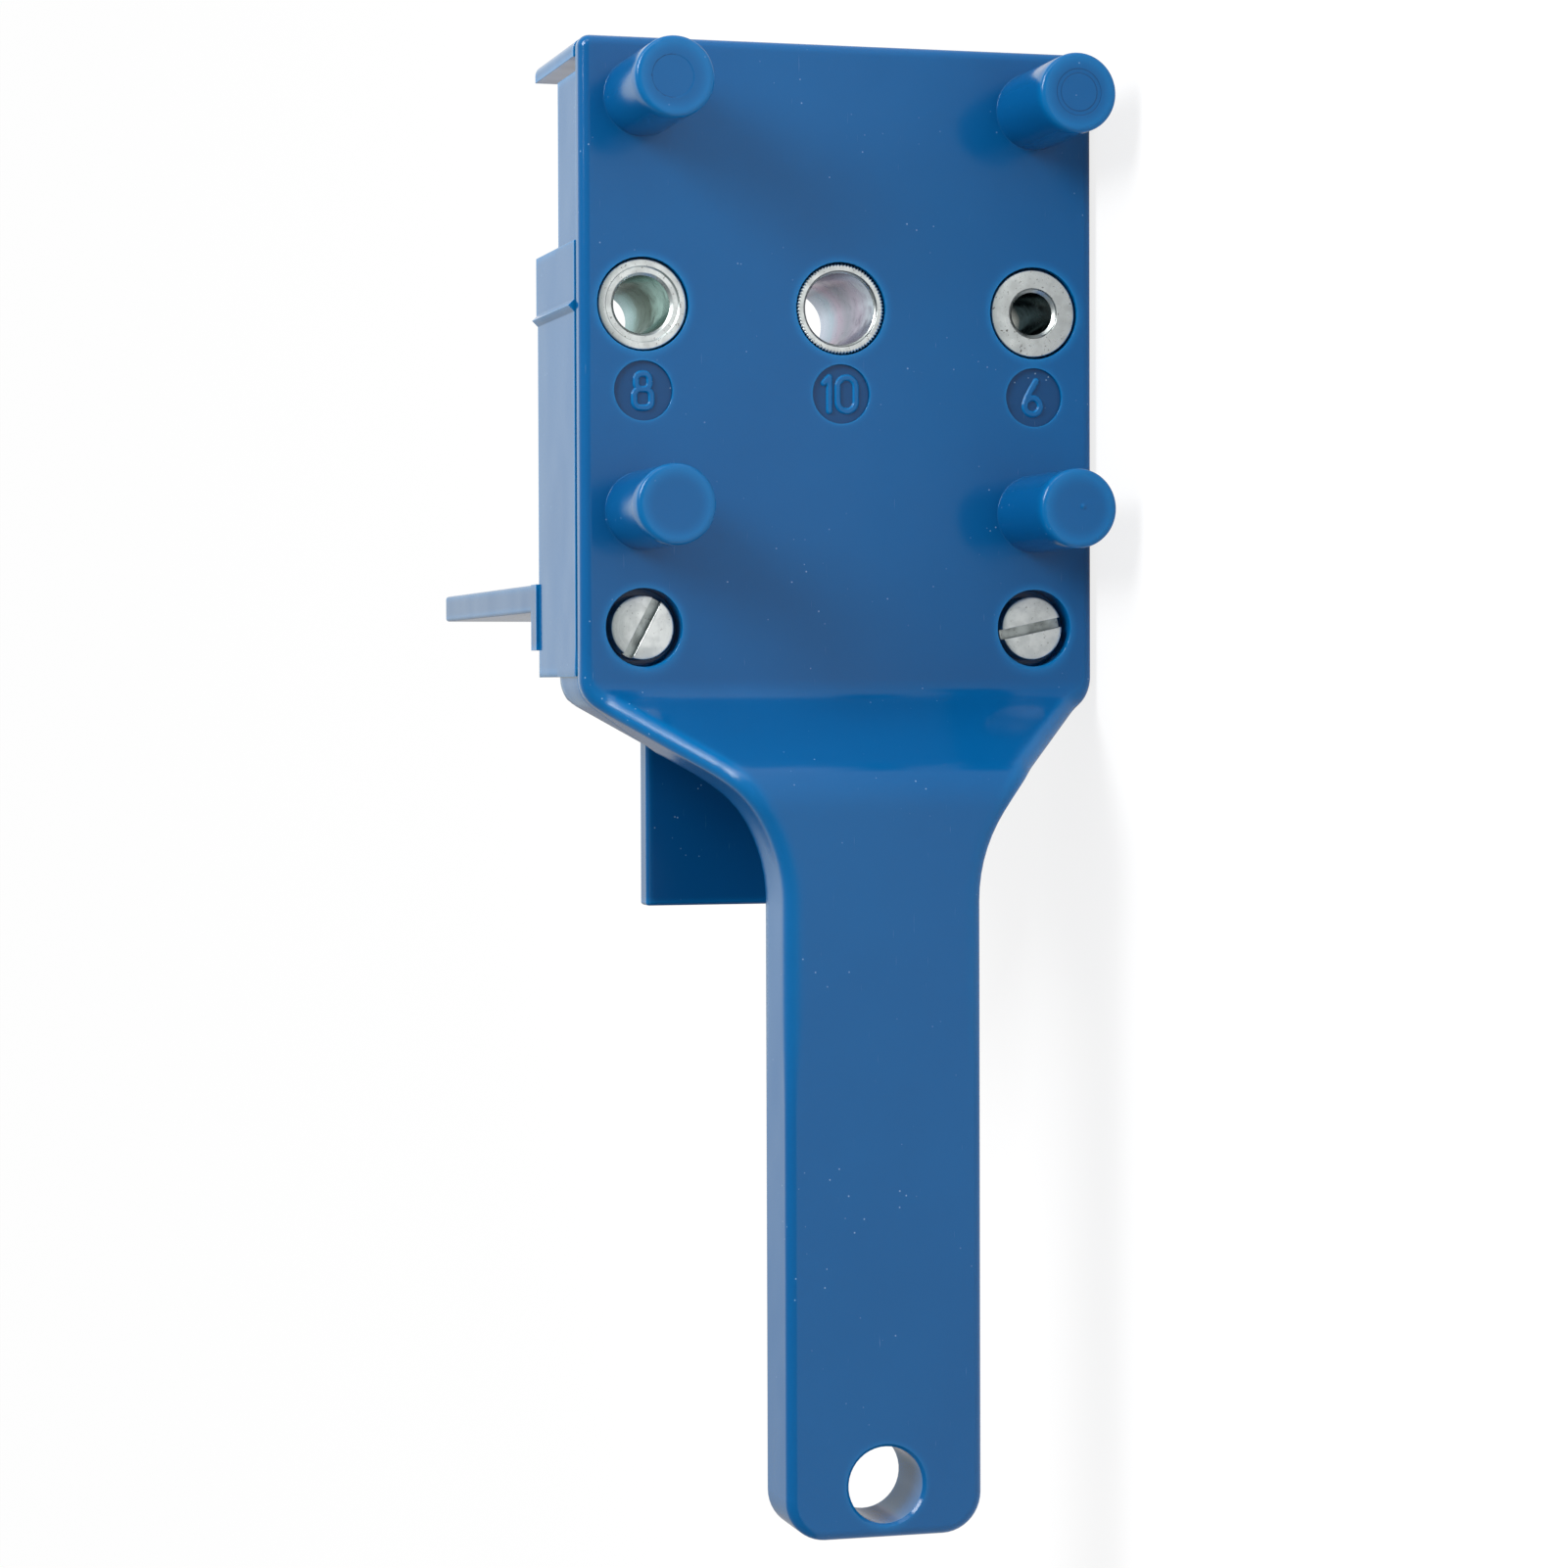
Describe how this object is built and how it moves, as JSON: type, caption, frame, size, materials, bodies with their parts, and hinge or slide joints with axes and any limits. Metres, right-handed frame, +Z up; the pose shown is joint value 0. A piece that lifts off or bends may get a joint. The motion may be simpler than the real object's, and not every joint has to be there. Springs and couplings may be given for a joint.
{
  "type": "drill guide",
  "caption": "Hand-held self-centring drill guide for dowel holes, with a raised handle, steel drill bushes, centring pegs and a sliding edge stop.",
  "frame": {"origin": "centre of the four pegs, where the axis of the middle bush meets the front face of the plate", "axes": "the guide lies on its right side: +X along it from the handle to the head, -Y out of the front face along the pegs, +Y towards the work, +Z up, across it from the small bush to the medium bush"},
  "size_m": [0.205, 0.118, 0.076],
  "materials": {
    "body_plastic": "satin blue, injection moulded",
    "stop_plastic": "satin blue, injection moulded",
    "bush_steel": "turned, bright zinc",
    "screw_zinc": "zinc plated",
    "bar_steel": "zinc plated"
  },
  "bodies": {
    "body": {"guide_body": "body_plastic", "bush_small": "bush_steel", "bush_medium": "bush_steel", "bush_large": "bush_steel", "clamp_bar": "bar_steel"},
    "stop": {"edge_stop": "stop_plastic"},
    "screw_left": {"clamp_screw_left": "screw_zinc"},
    "screw_right": {"clamp_screw_right": "screw_zinc"}
  },
  "joints": [
    {"name": "stop_slide", "type": "slide", "parent": "body", "child": "stop", "axis": [1, 0, 0], "range_m": [0, 0.029]},
    {"name": "screw_left_turn", "type": "hinge", "parent": "body", "child": "screw_left", "pos_m": [-0.0445, 0.0042, 0.0284], "axis": [0, -1, 0], "range_deg": [0, 180]},
    {"name": "screw_right_turn", "type": "hinge", "parent": "body", "child": "screw_right", "pos_m": [-0.0445, 0.0042, -0.0284], "axis": [0, -1, 0], "range_deg": [0, 180]}
  ]
}
